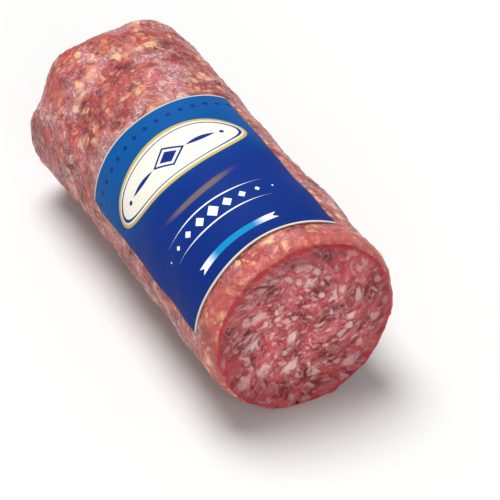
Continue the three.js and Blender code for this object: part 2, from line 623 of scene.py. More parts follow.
@dataclass(frozen=True)
class CutMeat:
    """The fresh cut: dark and bright lean, pinkish fat, a redder dried rim, painted shade in its small holes
    and a moist sheen.
    """

    dark_lean: Colour = linear(104, 12, 28)
    bright_lean: Colour = linear(198, 70, 80)
    brown: Colour = linear(150, 74, 62)
    pink: Colour = linear(212, 136, 136)
    fat: Colour = linear(228, 192, 188)
    rim: Colour = linear(178, 26, 40)
    rim_shade: Colour = linear(174, 122, 134)
    # painted shade inside the small holes of the cut
    hole_shade: Colour = linear(70, 24, 26)
    rim_radius: float = 31.7
    rim_width: float = 2.1
    dry_start: float = 12.0  # millimetres from the axis at which the meat starts to dry
    axis_height: float = 31.9
    stir: float = 0.016
    spread: float = 0.05
    softness: float = 0.17
    rim_edge: Lumps = Lumps(2.4)
    rim_edge_reach: float = 2.2
    rim_patches: Lumps = Lumps(1.6, 3.0, 0.6)
    brown_zones: Lumps = Lumps(7.5, 1.0)
    fat_clouds: Lumps = Lumps(1.3, 3.0, 0.6)
    relief_depth: float = 0.25

    def material(self) -> Material:
        """Builds the material of the cut face.

        Returns:
            The material.
        """
        made, bench, shader = new_material("cut meat")
        place = read_vector(bench, REST) * PER_METRE
        turned = stirred(place, self.stir, self.axis_height)
        inputs = {"Place": turned, "Spread": self.spread, "Softness": self.softness}
        grain = GRAIN.place(bench, TreeUse.MATERIAL, **inputs)
        fibre = grain["Fibre"]
        out = from_axis(place, self.axis_height)
        ragged = bench.noise(place, self.rim_edge) * self.rim_edge_reach - self.rim_edge_reach / 2
        rim = (self.rim_radius - (out + ragged)).eased(self.rim_width, 0.2)
        rim = rim * bench.noise(place, self.rim_patches).eased(0.32, 0.62, 0.36, 1.0)
        dry = out.eased(self.dry_start, self.rim_radius)

        lean = bench.mix(grain["Tone"], self.dark_lean, self.bright_lean)
        lean = bench.mix(1.0, lean, fibre * 0.85 + 0.57, "MULTIPLY")
        browned = bench.noise(turned, self.brown_zones).eased(0.5, 0.66, 0.0, 0.26)
        lean = bench.mix(browned, lean, self.brown)
        for name, share in (("Marble", 0.5), ("Fleck", 0.5), ("Vein", 0.4)):
            lean = bench.mix(grain[name] * share, lean, self.pink)
        cloudy = (bench.noise(turned, self.fat_clouds) * 1.3 + 0.22).clamped()
        fat = grain["Fat"] * (dry * -0.3 + (rim * -0.5 + 1.0)) * cloudy
        colour = bench.mix(fat, lean, self.fat)
        colour = bench.mix(dry * 0.6, colour, self.rim_shade, "MULTIPLY")
        colour = bench.mix(rim * 0.8, colour, self.rim)
        # painted shade darkens the small holes, which the relief also presses in
        colour = bench.mix(grain["Pit"], colour, self.hole_shade)

        dress(bench, shader, colour, fat * -0.08 + (fibre * 0.25 + 0.34))
        relief(bench, shader, fat * 0.45 + fibre * 0.6 - grain["Pit"] * 2.0, self.relief_depth)
        let_light_in(shader, 0.08, (1.0, 0.3, 0.2), 0.8)
        set_constants(shader, {"IOR": 1.42, "Specular IOR Level": 0.42})
        return made


@dataclass(frozen=True)
class CuredSkin:
    """The dried casing on the meat: brick red lean, cream and orange fat, painted highlights on its crinkles,
    a dry haze, and painted shade in the folds of its gathered end.
    """

    dark_lean: Colour = linear(98, 12, 24)
    bright_lean: Colour = linear(172, 62, 57)
    fresh_lean: Colour = linear(205, 102, 98)
    pink: Colour = linear(190, 106, 98)
    cream: Colour = linear(238, 196, 146)
    orange: Colour = linear(220, 132, 98)
    haze: Colour = linear(198, 150, 154)
    # painted highlight: the pale colour laid on the crinkles' crests and on small glint spots
    crest: Colour = linear(234, 208, 212)
    casing: Colour = linear(184, 118, 88)
    # painted shade in the folds of the gathered casing
    painted_fold_shade: Colour = linear(92, 38, 30)
    speck: Colour = linear(100, 46, 40)
    fresh_reach: float = 15.0  # millimetres from the cut over which the skin stays fresher
    fresh_start: float = 2.0
    spread: float = 0.12
    softness: float = 0.21
    warm_zones: Lumps = Lumps(5.0, 1.0)
    fat_zones: Lumps = Lumps(9.0, 1.0)
    speck_spacing: float = 7.0
    fold_shade_streaks: Lumps = Lumps(0.8)
    fold_shade_streak_draw: Triple = (1.0, 0.25, 1.0)
    relief_depth: float = 0.4

    def material(self, cut_place: float) -> Material:
        """Builds the material of the skin.

        Args:
            cut_place: The cut face's place along the sausage, in millimetres.

        Returns:
            The material.
        """
        made, bench, shader = new_material("cured skin")
        place = read_vector(bench, REST) * PER_METRE
        inputs = {"Place": place, "Spread": self.spread, "Softness": self.softness}
        grain = GRAIN.place(bench, TreeUse.MATERIAL, **inputs)
        crinkle = CRINKLE.place(bench, TreeUse.MATERIAL, Place=place)
        gathered = read_vector(bench, ZONE).parts()[1]
        fresh = place.parts()[1].eased(cut_place + self.fresh_reach, cut_place + self.fresh_start)
        dryness = fresh * -0.8 + 1.0

        lean = bench.mix(grain["Tone"], self.dark_lean, self.bright_lean)
        lean = bench.mix(1.0, lean, grain["Fibre"] * 0.5 + 0.75, "MULTIPLY")
        lean = bench.mix(fresh * 0.45, lean, self.fresh_lean)
        colour = bench.mix(grain["Marble"] * 0.34, lean, self.pink)
        warm = bench.noise(place, self.warm_zones).eased(0.4, 0.58)
        fat_colour = bench.mix(warm, self.cream, self.orange)
        patchy = bench.noise(place, self.fat_zones).eased(0.36, 0.6, 0.2, 0.92)
        colour = bench.mix(grain["Fat"] * patchy, colour, fat_colour)

        bloom = crinkle["Bloom"].eased(0.45, 0.62)
        haze = (bloom * 0.36 + 0.04) * dryness
        colour = bench.mix(haze, colour, self.haze)
        # Painted highlights: pale glints on the crinkles' crests and in small spots, strongest in the bloom
        # zones.
        painted_glint = crinkle["Glint"].eased(0.53, 0.7, 0.0, 0.95)
        crest = crinkle["Crest"].eased(0.82, 1.0, 0.0, 0.6).most(painted_glint)
        colour = bench.mix(crest * (bloom * 0.54 + 0.14) * dryness, colour, self.crest)
        speck_at, random = bench.cells(place, self.speck_spacing)
        speck = speck_at.eased(0.1, 0.05) * random.parts()[0].above(0.7)
        colour = bench.mix(speck * 0.6, colour, self.speck)
        shown = (gathered + (grain["Marble"] * 0.3 - 0.15)).eased(0.35, 1.0, 0.0, 0.86)
        colour = bench.mix(shown, colour, self.film(bench, place))

        dress(bench, shader, colour, haze * 0.3 + (crinkle["Pebble"] * 0.3 + 0.22))
        height = crinkle["Pebble"] * 0.8 + crinkle["Crest"] * 0.9 + grain["Fibre"] * 0.35
        relief(bench, shader, height, self.relief_depth)
        let_light_in(shader, 0.06, (1.0, 0.35, 0.2), 1.0)
        set_constants(shader, {"IOR": 1.45, "Specular IOR Level": 0.36})
        return made

    def film(self, bench: Bench, place: Signal) -> Signal:
        """Builds the colour of the gathered casing: painted shade darkens its folds, and it is paler at its
        loose end.

        Args:
            bench: The material's bench.
            place: Position, in millimetres.

        Returns:
            The colour.
        """
        fold, loose, _ = read_vector(bench, FOLD).parts()
        # painted shade: darker deep in the folds and along thin streaks
        deep = (bench.noise(place * self.fold_shade_streak_draw, self.fold_shade_streaks) * 0.5 + fold).eased(0.35, 1.15)
        film = bench.mix(deep, self.casing, self.painted_fold_shade)
        return bench.mix(loose.eased(0.6, 1.0) * 0.35, film, self.cream)


@dataclass(frozen=True)
class Sheet:
    """The flat label in a material: places across it from its middle, and along it, in millimetres."""

    bench: Bench
    across: Signal
    along: Signal

    @property
    def side(self) -> Signal:
        """Distance from the middle line, to either side."""
        return abs(self.across)

    def lift(self, middle: Feed) -> Signal:
        """Distance along the label from a place on it, either way."""
        return abs(self.along - middle)


@dataclass(frozen=True)
class LabelPrint:
    """The label's print, in millimetres on the flat paper. Along it, 0 is the edge nearest the cut."""

    length: float = 82.2
    ground: Colour = linear(14, 46, 122)
    far_ground: Colour = linear(14, 82, 148)
    deep: Colour = linear(12, 34, 100)
    gold: Colour = linear(190, 170, 100)
    ivory: Colour = linear(230, 225, 212)
    edge_line: Colour = linear(214, 204, 176)
    ribbon_blue: Colour = linear(20, 132, 188)
    white: Colour = linear(240, 242, 246)
    glow: Colour = linear(122, 104, 84)
    dusk: Colour = linear(56, 40, 116)
    paper: Colour = linear(226, 222, 212)

    edge: float = 0.12  # how soft the print's edges are
    near_line: tuple[float, float] = (0.75, 0.5)  # middle and half width
    far_line: tuple[float, float] = (0.4, 0.3)
    plaque_middle: float = 58.0
    plaque_half: tuple[float, float] = (29.5, 11.6)
    gold_width: float = 1.3
    keyline_inset: float = 2.5
    row_middle: float = 24.0
    row_pitch: float = 5.6
    row_half: float = 2.9  # half the height of the middle lozenge
    row_loss: float = 0.6  # how much smaller each is than the one before
    rule_offset: float = 4.4
    rule_half: float = 20.0
    ribbon_middle: float = 8.2
    ribbon_half: float = 1.45
    ribbon_reach: float = 16.0
    diamond_middle: float = 76.0
    diamond_pitch: float = 4.6
    diamond_half: float = 1.15
    ink_patches: Lumps = Lumps(14.0)
    fibres: Lumps = Lumps(0.35)
    gloss_patches: Lumps = Lumps(3.0, 3.0)
    ripples: Lumps = Lumps(5.0)
    relief_depth: float = 0.12

    def material(self) -> Material:
        """Builds the material of the label.

        Returns:
            The material.
        """
        made, bench, shader = new_material("printed paper")
        across, along, printed = read_vector(bench, PRINT).parts()
        sheet = Sheet(bench, across, along)
        place = bench.joined(across, along)
        colour = bench.mix(along.eased(36.0, 78.0), self.ground, self.far_ground)
        colour = bench.mix(along.eased(30.0, 0.0) * 0.35, colour, self.deep)
        for lay in (self.swoosh, self.diamonds, self.plaque, self.rule, self.ribbon):
            colour = lay(sheet, colour)
        far_middle, far_half = self.far_line
        for middle, half in (self.near_line, (self.length - far_middle, far_half)):
            colour = bench.mix((half - sheet.lift(middle)).inked(self.edge), colour, self.edge_line)

        colour = bench.mix(1.0, colour, bench.noise(place, self.ink_patches) * 0.16 + 0.92, "MULTIPLY")
        fibres = bench.noise(place, self.fibres)
        paper = bench.mix(0.2, self.paper, fibres, "MULTIPLY")
        colour = bench.mix(printed.eased(0.55, 0.85), paper, colour)
        dress(bench, shader, colour, bench.noise(place, self.gloss_patches) * 0.16 + 0.42)
        relief(bench, shader, fibres * 0.06 + bench.noise(place, self.ripples), self.relief_depth)
        set_constants(shader, {"IOR": 1.3, "Specular IOR Level": 0.12})
        return made

    def oval(self, sheet: Sheet, shrink: float) -> Signal:
        """Measures how far a point lies outside the plaque's outline drawn in by some way, roughly.

        Args:
            sheet: The label.
            shrink: How far the outline is drawn in.

        Returns:
            The distance, which is negative inside.
        """
        wide, tall = (half - shrink for half in self.plaque_half)
        scaled = sheet.bench.joined(sheet.across / wide, (sheet.along - self.plaque_middle) / tall)
        return (scaled.length() - 1.0) * tall

    def plaque(self, sheet: Sheet, under: Signal) -> Signal:
        """Lays the blank ivory oval with its gold border, its thin inner line and its ornament.

        Args:
            sheet: The label.
            under: The colour below.

        Returns:
            The colour with it on.
        """
        for shrink, ink in ((0.0, self.gold), (self.gold_width, self.ivory)):
            under = sheet.bench.mix(self.oval(sheet, shrink).eased(self.edge, -self.edge), under, ink)
        ring = abs(self.oval(sheet, self.keyline_inset)).eased(0.3, 0.14)
        return sheet.bench.mix(ring.most(self.emblem(sheet)), under, self.ground)

    def emblem(self, sheet: Sheet) -> Signal:
        """Draws a plain printer's ornament in the plaque: a double lozenge between two swelled rules.

        Args:
            sheet: The label.

        Returns:
            Its mask.
        """
        side, lift = sheet.side, sheet.lift(self.plaque_middle)
        reach = side * 0.8 + lift
        frame = abs(reach - 4.8).eased(0.62, 0.42)
        heart = reach.eased(3.1, 2.8)
        from_swell = (side - 12.5) / 5.6
        rules = ((1.0 - from_swell * from_swell) * 0.95 - lift).inked()
        beads = sheet.bench.joined(side - 20.4, lift).length().eased(0.95, 0.75)
        return frame.most(heart).most(rules).most(beads)

    def lozenges(self, sheet: Sheet) -> Signal:
        """Draws a row of plain lozenges that shrink away from the middle.

        Args:
            sheet: The label.

        Returns:
            Its mask.
        """
        step = sheet.bench.math("ROUND", sheet.across / self.row_pitch)
        local = abs(step * -self.row_pitch + sheet.across)
        size = abs(step) * -self.row_loss + self.row_half
        return (size - (local * 1.25 + sheet.lift(self.row_middle))).inked() * size.above(0.2)

    def rule(self, sheet: Sheet, under: Signal) -> Signal:
        """Lays a row of white lozenges between two plain tapered rules, below the plaque.

        Args:
            sheet: The label.
            under: The colour below.

        Returns:
            The colour with it on.
        """
        gap = abs(sheet.lift(self.row_middle) - self.rule_offset)
        taper = sheet.side.eased(self.rule_half, 6.0, 0.0, 0.3)
        line = (taper - gap).inked(0.08) * (self.rule_half - sheet.side).above(0.0)
        return sheet.bench.mix(line.most(self.lozenges(sheet)), under, self.white)

    def swoosh(self, sheet: Sheet, under: Signal) -> Signal:
        """Lays a dim gold arc that fades out at both ends.

        Args:
            sheet: The label.
            under: The colour below.

        Returns:
            The colour with it on.
        """
        side, across = sheet.side, sheet.across
        middle = across * 0.06 + 34.5 + across * across * 0.011
        mask = (side.eased(27.0, 4.0, 0.2, 1.3) - sheet.lift(middle)).inked(0.5)
        glow = sheet.bench.mix(side.eased(18.0, 5.0), self.dusk, self.glow)
        return sheet.bench.mix(mask * side.eased(26.0, 8.0) * 0.8, under, glow)

    def ribbon(self, sheet: Sheet, under: Signal) -> Signal:
        """Lays a blank ribbon near the cut: light blue in the middle, white at its notched ends.

        Args:
            sheet: The label.
            under: The colour below.

        Returns:
            The colour with it on.
        """
        inside = self.ribbon_half - sheet.lift(self.ribbon_middle)
        ends = self.ribbon_reach - (sheet.side + inside * 1.2)
        tint = sheet.bench.mix(sheet.side.eased(7.0, 13.5), self.ribbon_blue, self.white)
        return sheet.bench.mix(inside.inked() * ends.inked(), under, tint)

    def diamonds(self, sheet: Sheet, under: Signal) -> Signal:
        """Lays a row of small plain diamonds along the far edge.

        Args:
            sheet: The label.
            under: The colour below.

        Returns:
            The colour with it on.
        """
        step = abs(sheet.bench.math("PINGPONG", sheet.across, self.diamond_pitch / 2))
        reach = step + sheet.lift(self.diamond_middle)
        shown = reach.eased(self.diamond_half + 0.15, self.diamond_half - 0.15)
        return sheet.bench.mix(shown * 0.75, under, self.deep)


@dataclass(frozen=True)
class ClipMetal:
    """Plain soft aluminium, rubbed by the machine that closed it."""

    bright: Colour = (0.78, 0.79, 0.80)
    dull: Colour = (0.46, 0.46, 0.46)
    rubbing: Lumps = Lumps(1.6, 3.0, 0.6)
    scratches: Lumps = Lumps(1.4)
    scratch_draw: Triple = (1.0, 9.0, 1.0)

    def material(self) -> Material:
        """Builds the material of the clip.

        Returns:
            The material.
        """
        made, bench, shader = new_material("clip metal")
        place = object_place(bench)
        rubbed = bench.noise(place, self.rubbing)
        dress(bench, shader, bench.mix(rubbed.eased(0.4, 0.66), self.bright, self.dull), rubbed * 0.3 + 0.2)
        set_constants(shader, {"Metallic": 1.0})
        relief(bench, shader, bench.noise(place * self.scratch_draw, self.scratches), 0.05, 0.6)
        return made


@dataclass(frozen=True)
class PaleTop:
    """A plain pale tabletop with the faintest unevenness."""

    light: Colour = (0.71, 0.71, 0.706)
    shade: Colour = (0.68, 0.68, 0.676)
    clouds: Lumps = Lumps(400.0)

    def material(self) -> Material:
        """Builds the material of the table.

        Returns:
            The material.
        """
        made, bench, shader = new_material("pale tabletop")
        cloud = bench.noise(object_place(bench), self.clouds)
        dress(bench, shader, bench.mix(cloud, self.light, self.shade), cloud * 0.1 + 0.7)
        return made


# ---- Meshes ----


def smooth_step(value: Array, low: float, high: float) -> Array:
    """Eases numbers: 0 below low, 1 above high, and smooth between.

    Args:
        value: The numbers to ease.
        low: Where the result is 0. It may lie above high.
        high: Where the result is 1.

    Returns:
        The eased numbers.
    """
    share = np.clip((value - low) / (high - low), 0.0, 1.0)
    return share * share * (3.0 - 2.0 * share)


def make_object(name: str, points: Array, faces: list[Array]) -> Object:
    """Makes a smooth mesh object at the origin.

    Args:
        name: The object's name.
        points: One row for each vertex, in metres.
        faces: Arrays of faces, each with one row a face and the same number of corners throughout.

    Returns:
        The object, linked into the scene.
    """
    mesh = bpy.data.meshes.new(name)
    mesh.from_pydata(points.tolist(), [], [tuple(map(int, face)) for block in faces for face in block])
    mesh.polygons.foreach_set("use_smooth", np.full(len(mesh.polygons), True))
    mesh.update()
    made = bpy.data.objects.new(name, mesh)
    bpy.context.scene.collection.objects.link(made)
    return made


def carry(made: Object, name: str, vectors: Array) -> None:
    """Stores a vector at each vertex of an object's mesh."""
    attribute = made.data.attributes.new(name, "FLOAT_VECTOR", "POINT")
    attribute.data.foreach_set("vector", vectors.astype(np.float32).ravel())


def lay_flat(made: Object, places: Array) -> None:
    """Gives a mesh its flat map, with a place for each corner of each face."""
    layer = made.data.uv_layers.new(name=BAKE_MAP, do_init=False)
    layer.uv.foreach_set("vector", places.astype(np.float32).ravel())


def quads(*corners: Array) -> Array:
    """Joins the grids of their four corners into faces."""
    return np.stack(corners, axis=-1).reshape(-1, 4)


def rows(*blocks: Array | Sequence[Triple]) -> Array:
    """Joins blocks of vectors, one row each."""
    return np.concatenate([np.array(block).reshape(-1, 3) for block in blocks])


def run_along(curve: Array) -> Array:
    """The distance along a curve at each of its points."""
    return np.concatenate([[0.0], np.cumsum(np.linalg.norm(np.diff(curve, axis=0), axis=1))])


def bezier(handles: Sequence[tuple[float, float]], steps: int, dense_steps: int = 400) -> Array:
    """Spaces points evenly along a cubic curve.

    Args:
        handles: Its start, the handle there, the handle at its end, and its end.
        steps: Number of spaces between the points.
        dense_steps: Number of points that the curve is measured with.

    Returns:
        steps + 1 points, one row each.
    """
    t = np.linspace(0.0, 1.0, dense_steps)[:, None]
    a, b, c, d = (np.array(handle)[None, :] for handle in handles)
    dense = a * (1 - t) ** 3 + 3 * b * t * (1 - t) ** 2 + 3 * c * t**2 * (1 - t) + d * t**3
    run = run_along(dense)
    wanted = np.linspace(0.0, run[-1], steps + 1)
    return np.stack([np.interp(wanted, run, dense[:, k]) for k in (0, 1)], axis=1)


@dataclass(frozen=True)
class Wave:
    """A soft wave of the whole skin."""

    around: int
    length: float
    height: float
    turn: float


@dataclass(frozen=True)
class Swelling:
    """A single swelling, or a dent where its height is negative, in degrees and millimetres."""

    angle: float
    along: float
    reach_angle: float
    reach_along: float
    height: float


@dataclass(frozen=True)
class SkinRings:
    """The rings of the skin, with a vector for each point in each array."""

    places: Array
    ways: Array
    zones: Array
    folds: Array


@dataclass
class SausageBody:
    """The meat in its casing, in millimetres: a round log with a cut end and a gathered end."""

    radius: float = 33.0
    rim_radius: float = 31.7
    rim_round: float = 0.35
    rim_end: float = 10.5  # where the cut stops shaping the skin
    axis_height: float = 31.9
    shoulder: float = 141.0
    end_flat: float = 153.5
    end_round: float = 21.0  # radius at which the blunt end turns in to the neck
    neck_radius: float = 3.2
    neck_start: float = 159.0
    neck_end: float = 164.0
    tail_radius: float = 4.3
    tail_hollow: float = 0.8
    length: float = 171.0

    pleats: int = 12
    pleat_depth: float = 1.3
    pleat_share: float = 0.2

    around: int = 312
    face_rings: int = 46
    steps: tuple[int, ...] = (18, 170, 26, 30, 8, 12)

    waves: tuple[Wave, ...] = (
        Wave(2, 97.0, 0.3, 20.0),
        Wave(3, 61.0, 0.22, 140.0),
        Wave(5, 34.0, 0.2, 265.0),
        Wave(7, 23.0, 0.14, 80.0),
    )
    wobbles: tuple[tuple[int, float, float], ...] = (  # waves round the rim: how many, height, turn
        (11, 0.16, 20.0),
        (17, 0.13, 200.0),
        (29, 0.1, 75.0),
        (43, 0.06, 310.0),
    )
    wobble_reach: float = 4.0
    swellings: tuple[Swelling, ...] = (
        Swelling(62.0, 6.0, 26.0, 8.0, 0.9),
        Swelling(64.0, 33.0, 24.0, 9.0, 1.1),
        Swelling(-122.0, 1.0, 30.0, 6.0, -0.7),
        Swelling(-112.0, 146.0, 22.0, 11.0, 1.5),
        Swelling(27.0, 150.0, 15.0, 9.0, 1.5),
        Swelling(-9.0, 151.0, 21.0, 10.0, -2.0),
        Swelling(-42.0, 149.0, 12.0, 9.0, 0.8),
        Swelling(-72.0, 151.0, 13.0, 9.0, -1.6),
    )
    grounding: float = 1.2  # height over which relief fades out towards the table
    lumps: Lumps = Lumps(7.0)
    dents: Lumps = Lumps(17.0, 1.0)
    cut_waves: Lumps = Lumps(16.0, 1.0)
    lip_edge: Lumps = Lumps(3.0)
    lip_lumps: Lumps = Lumps(2.0)

    map_disc: float = 0.155  # radius of each end on the flat map
    cut_disc: tuple[float, float] = (0.17, 0.83)
    end_disc: tuple[float, float] = (0.52, 0.83)
    side_corner: float = 0.01
    side_span: tuple[float, float] = (0.98, 0.62)
    cut: CutMeat = field(default_factory=CutMeat)
    skin: CuredSkin = field(default_factory=CuredSkin)

    @property
    def cut_place(self) -> float:
        """The cut face's place along Y."""
        return -self.length / 2

    def outline(self) -> Array:
        """Draws the half outline from the rim of the cut to the end of the loose casing.

        Returns:
            Distance along and radius, one row for each ring.
        """
        r, neck, tail = self.radius, self.neck_radius, self.tail_radius
        rim, flat, end = self.rim_end, self.end_flat, self.length
        shoulder, start, stop = self.shoulder, self.neck_start, self.neck_end
        turn_in = (flat - 0.5, self.end_round)
        curves = (
            ((0.0, self.rim_radius), (1.0, r + 0.2), (5.0, r + 0.9), (rim, r)),
            ((rim, r), (50.0, r), (100.0, r), (shoulder, r)),
            ((shoulder, r), (shoulder + 8, r), (flat - 1, r - 3), turn_in),
            (turn_in, (flat, 10.0), (start - 4, neck), (start, neck)),
            ((start, neck), (start + 1, neck), (stop - 1, neck), (stop, neck)),
            ((stop, neck), (stop + 2, neck), (end - 3, tail), (end, tail)),
        )
        stretches = [bezier(handles, steps) for handles, steps in zip(curves, self.steps)]
        return np.concatenate([stretches[0]] + [stretch[1:] for stretch in stretches[1:]])

    def swell(self, angle: Array, along: Array) -> Array:
        """Works out how far the skin stands out of its plain round shape.

        Args:
            angle: Degrees round from the top towards +X.
            along: Distance from the cut face.

        Returns:
            The height at each place.
        """
        turn = np.radians(angle)
        out = np.zeros(np.broadcast(angle, along).shape)
        for wave in self.waves:
            round_part = np.cos(wave.around * turn + math.radians(wave.turn))
            out += wave.height * round_part * np.cos(2 * math.pi * along / wave.length + wave.turn)
        for swelling in self.swellings:
            off = (angle - swelling.angle + 180.0) % 360.0 - 180.0
            away = (along - swelling.along) / swelling.reach_along
            out += swelling.height * np.exp(-((off / swelling.reach_angle) ** 2 + away**2))
        return out

    def wobble(self, angle: Array, along: Array) -> Array:
        """Works out how far the knife's rim stands out unevenly, dying away from the cut.

        Args:
            angle: Degrees round from the top towards +X.
            along: Distance from the cut face.

        Returns:
            The height at each place.
        """
        out = np.zeros(np.broadcast(angle, along).shape)
        for count, height, turn in self.wobbles:
            out += height * np.cos(np.radians(count * angle + turn))
        return out * np.exp(-along / self.wobble_reach)

    def gather(self, radius: Array) -> Array:
        """How much of the casing is gathered: 0 on the meat, 1 at the neck."""
        return 1.0 - smooth_step(radius, self.neck_radius + 6.0, 0.8 * self.radius)

    def fold(self, angle: Array) -> Array:
        """Works out how deep in a fold each place round the gathered casing is.

        Args:
            angle: Degrees round from the top towards +X.

        Returns:
            The depth, from 0 on a crest to about 1.
        """
        wander = 25.0 * np.sin(np.radians(3.0 * angle))
        ridge = np.cos(np.radians(self.pleats * angle + wander))
        fine = np.cos(np.radians((2 * self.pleats + 5) * angle + 2.0 * wander + 40.0))
        return 0.5 - 0.42 * ridge - 0.16 * fine

    def fray(self, angle: Array) -> Array:
        """How far the loose end of the casing stops short, at each place round it."""
        turn = np.radians(angle)
        return 0.55 * (1.0 + np.sin(3 * turn + 0.6)) + 0.35 * (1.0 + np.sin(8 * turn + 2.0))

    def pleat(self, angle: Array, radius: Array) -> Array:
        """How far the folds of the gathered casing go in."""
        depth = np.minimum(self.pleat_depth, self.pleat_share * radius)
        return -self.gather(radius) * depth * self.fold(angle)

    def place(self, along: Array, radius: Array, angle: Array) -> Array:
        """Turns places on the sausage into points in metres, resting on the table.

        Args:
            along: Distance from the cut face.
            radius: Distance from the axis.
            angle: Degrees round from the top towards +X.

        Returns:
            Points, with a last axis of three.
        """
        turn = np.radians(angle)
        height = np.maximum(0.0, self.axis_height + radius * np.cos(turn))
        return np.stack([radius * np.sin(turn), along + self.cut_place, height], axis=-1) * MM

    def skin_rings(self) -> SkinRings:
        """Works out the rings of the skin.

        Returns:
            The rings: places, the way relief moves each, its zone, and how folded it is.
        """
        outline = self.outline()
        slope = np.gradient(outline, axis=0)
        slope /= np.linalg.norm(slope, axis=1)[:, None]
        lean, outward = -slope[:, 1:], slope[:, :1]
        angle = (np.arange(self.around) * 360.0 / self.around)[None, :]
        turn = np.radians(angle)
        along, radius = outline[:, :1], outline[:, 1:]
        calm = np.minimum(1.0, radius / (0.6 * self.radius)) ** 2
        out = calm * self.swell(angle, along) + self.pleat(angle, radius) + self.wobble(angle, along)
        flat = np.ones_like(out)
        loose = smooth_step(along, self.neck_end + 1.0, self.length)
        gathered = self.gather(radius) * flat
        return SkinRings(
            places=self.place(along + lean * out - loose * self.fray(angle), radius + outward * out, angle),
            ways=np.stack([outward * np.sin(turn), lean * flat, outward * np.cos(turn)], axis=-1),
            zones=np.stack([flat, gathered, self.under_label(angle, along)], axis=-1),
            folds=np.stack([gathered * self.fold(angle), loose * flat, 0.0 * flat], axis=-1),
        )

    def under_label(self, angle: Array, along: Array) -> Array:
        """Marks the skin under the label.

        Args:
            angle: Degrees round from the top towards +X.
            along: Distance from the cut face.

        Returns:
            1 where the label lies on the skin, falling to 0 just outside its edges.
        """
        label = LabelSheet()
        half, end = label.spread / 2, label.start + label.length
        off = np.abs((angle - label.middle + 180.0) % 360.0 - 180.0)
        inside = smooth_step(off, half + 4.5, half + 0.6)
        inside = inside * smooth_step(along, label.start - 2.6, label.start - 0.3)
        return inside * smooth_step(along, end + 2.6, end + 0.3)

    def face_points(self, rim: Array) -> Array:
        """Works out the rings of the cut face, from its middle out to the rounded rim.

        Args:
            rim: The first ring of the skin, in metres.

        Returns:
            The points.
        """
        middle = np.array([0.0, self.cut_place * MM, self.axis_height * MM])
        share = np.linspace(1.0 / self.face_rings, 1.0, self.face_rings)
        inset = 1.0 - self.rim_round / self.rim_radius
        rings = middle + (rim[None] - middle) * (share * inset)[:, None, None]
        rings[..., 1] = self.cut_place * MM
        return rings

    def build(self) -> Object:
        """Makes the finished sausage.

        Returns:
            The object, with its relief in its mesh and both of its materials on it.
        """
        skin = self.skin_rings()
        skin.places[0, :, 1] = (self.cut_place + self.rim_round) * MM
        face = self.face_points(skin.places[0])
        still = np.zeros_like(face)
        nowhere, cut_way, tail = (0.0, 0.0, 0.0), (0.0, -1.0, 0.0), (1.0, 1.0, 0.0)
        axis = self.axis_height * MM
        tail_end = skin.places[-1, :, 1].min() - self.tail_hollow * MM
        points = rows(face, skin.places, [(0.0, face[0, 0, 1], axis), (0.0, tail_end, axis)])
        calm = np.minimum(1.0, np.maximum(points[:, 2:], 0.0) / (self.grounding * MM))
        ways = rows(still + cut_way, skin.ways, [cut_way, nowhere]) * calm
        zones = rows(still, skin.zones, [nowhere, tail])
        folds = rows(still, skin.folds, [nowhere, tail])

        index = np.arange(len(points) - 2).reshape(-1, self.around)
        turned = np.roll(index, -1, axis=1)
        sides = quads(index[:-1], turned[:-1], turned[1:], index[1:])
        middle = np.full(self.around, len(points) - 2)
        cut_fan = np.stack([middle, turned[0], index[0]], axis=-1)
        tail_fan = np.stack([middle + 1, index[-1], turned[-1]], axis=-1)
        made = make_object("sausage_meat", points, [sides, cut_fan, tail_fan])
        for name, vectors in ((REST, points), (PUSH, ways), (ZONE, zones), (FOLD, folds)):
            carry(made, name, vectors)
        self.bake_map(made)
        self.press_relief(made)
        made.data.materials.append(self.skin.material(self.cut_place))
        made.data.materials.append(self.cut.material())
        on_cut = np.zeros(len(made.data.polygons), dtype=np.int32)
        on_cut[:self.face_rings * self.around] = 1
        on_cut[len(sides):len(sides) + self.around] = 1
        made.data.polygons.foreach_set("material_index", on_cut)
        return made

    def bake_map(self, made: Object) -> None:
        """Lays the surface out flat: the cut and the gathered end as discs, and the side as a strip.

        Args:
            made: The sausage, before its relief.
        """
        mesh = made.data
        corner = np.zeros(len(mesh.loops), dtype=np.int64)
        start, total = np.zeros((2, len(mesh.polygons)), dtype=np.int64)
        mesh.loops.foreach_get("vertex_index", corner)
        mesh.polygons.foreach_get("loop_start", start)
        mesh.polygons.foreach_get("loop_total", total)
        owner = np.repeat(np.arange(len(start)), total)
        run = run_along(self.outline())
        side_rows, last = sum(self.steps[:3]), len(run) - 1
        middle_ring = len(run) + self.face_rings

        ring, column = np.divmod(corner, self.around)
        wrapped = np.where((column == 0) & (column[start][owner] > self.around // 2), self.around, column)
        lowest = np.minimum.reduceat(ring, start)[owner]
        row = np.clip(ring - self.face_rings, 0, last)
        on_cut = lowest < self.face_rings
        on_side = ~on_cut & (lowest - self.face_rings < side_rows)
        cut_reach = np.minimum((ring + 1) / self.face_rings, 1.03) * (ring < middle_ring)
        end_reach = 0.08 + 0.92 * (run[last] - run[row]) / (run[last] - run[side_rows])
        end_reach = np.where(ring >= middle_ring, 0.0, end_reach)

        turn = 2 * math.pi * column / self.around
        way = np.stack([np.sin(turn), np.cos(turn)], axis=1) * self.map_disc
        strip = np.stack([wrapped / self.around, run[row] / run[side_rows]], axis=1)
        places = np.array(self.end_disc) + way * end_reach[:, None]
        places[on_cut] = (np.array(self.cut_disc) + way * cut_reach[:, None])[on_cut]
        places[on_side] = (self.side_corner + np.array(self.side_span) * strip)[on_side]
        lay_flat(made, places)

